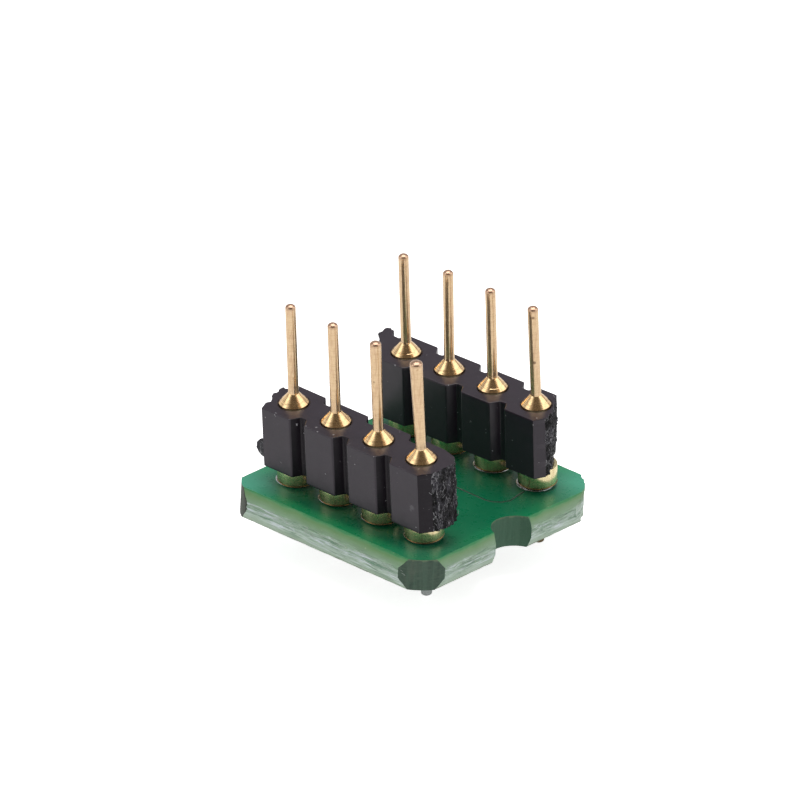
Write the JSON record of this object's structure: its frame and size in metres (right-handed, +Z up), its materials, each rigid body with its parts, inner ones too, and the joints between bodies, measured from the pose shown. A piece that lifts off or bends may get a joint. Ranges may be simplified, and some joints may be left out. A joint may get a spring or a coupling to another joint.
{
  "type": "dual in-line amplifier chip module",
  "caption": "Amplifier chip soldered to a small scored circuit board, with two black pin headers whose turned gold pins plug into a dual in-line socket.",
  "frame": {"origin": "on the table, at the middle of the chip's outer face, which is under the middle of the pin grid", "axes": "+X along the pin rows towards the notched edge, +Y from the front row to the rear row, +Z up, the way the contact pins point from the board"},
  "size_m": [0.012, 0.0126, 0.0123],
  "materials": {
    "board": "green solder mask over glass laminate, satin",
    "header_plastic": "black moulded, satin",
    "mould_compound": "fine matt",
    "gold_plate": "turned and gold plated, bright",
    "solder": "bright solder",
    "tinned_lead": "tinned, satin",
    "copper_frame": "bare copper",
    "silicon": "polished",
    "bond_gold": "bright"
  },
  "bodies": {
    "root": {"pcb": "board", "header_strip_front": "header_plastic", "header_strip_rear": "header_plastic", "chip_body": "mould_compound", "die_paddle": "copper_frame", "die": "silicon", "pin_1": "gold_plate", "pin_2": "gold_plate", "pin_3": "gold_plate", "pin_4": "gold_plate", "pin_5": "gold_plate", "pin_6": "gold_plate", "pin_7": "gold_plate", "pin_8": "gold_plate", "pin_solder_1": "solder", "pin_solder_2": "solder", "pin_solder_3": "solder", "pin_solder_4": "solder", "pin_solder_5": "solder", "pin_solder_6": "solder", "pin_solder_7": "solder", "pin_solder_8": "solder", "chip_lead_1": "tinned_lead", "chip_lead_2": "tinned_lead", "chip_lead_3": "tinned_lead", "chip_lead_4": "tinned_lead", "chip_lead_5": "tinned_lead", "chip_lead_6": "tinned_lead", "chip_lead_7": "tinned_lead", "chip_lead_8": "tinned_lead", "lead_solder_1": "solder", "lead_solder_2": "solder", "lead_solder_3": "solder", "lead_solder_4": "solder", "lead_solder_5": "solder", "lead_solder_6": "solder", "lead_solder_7": "solder", "lead_solder_8": "solder", "bond_wire_1": "bond_gold", "bond_wire_2": "bond_gold", "bond_wire_3": "bond_gold", "bond_wire_4": "bond_gold", "bond_wire_5": "bond_gold", "bond_wire_6": "bond_gold", "bond_wire_7": "bond_gold", "bond_wire_8": "bond_gold"}
  },
  "joints": []
}
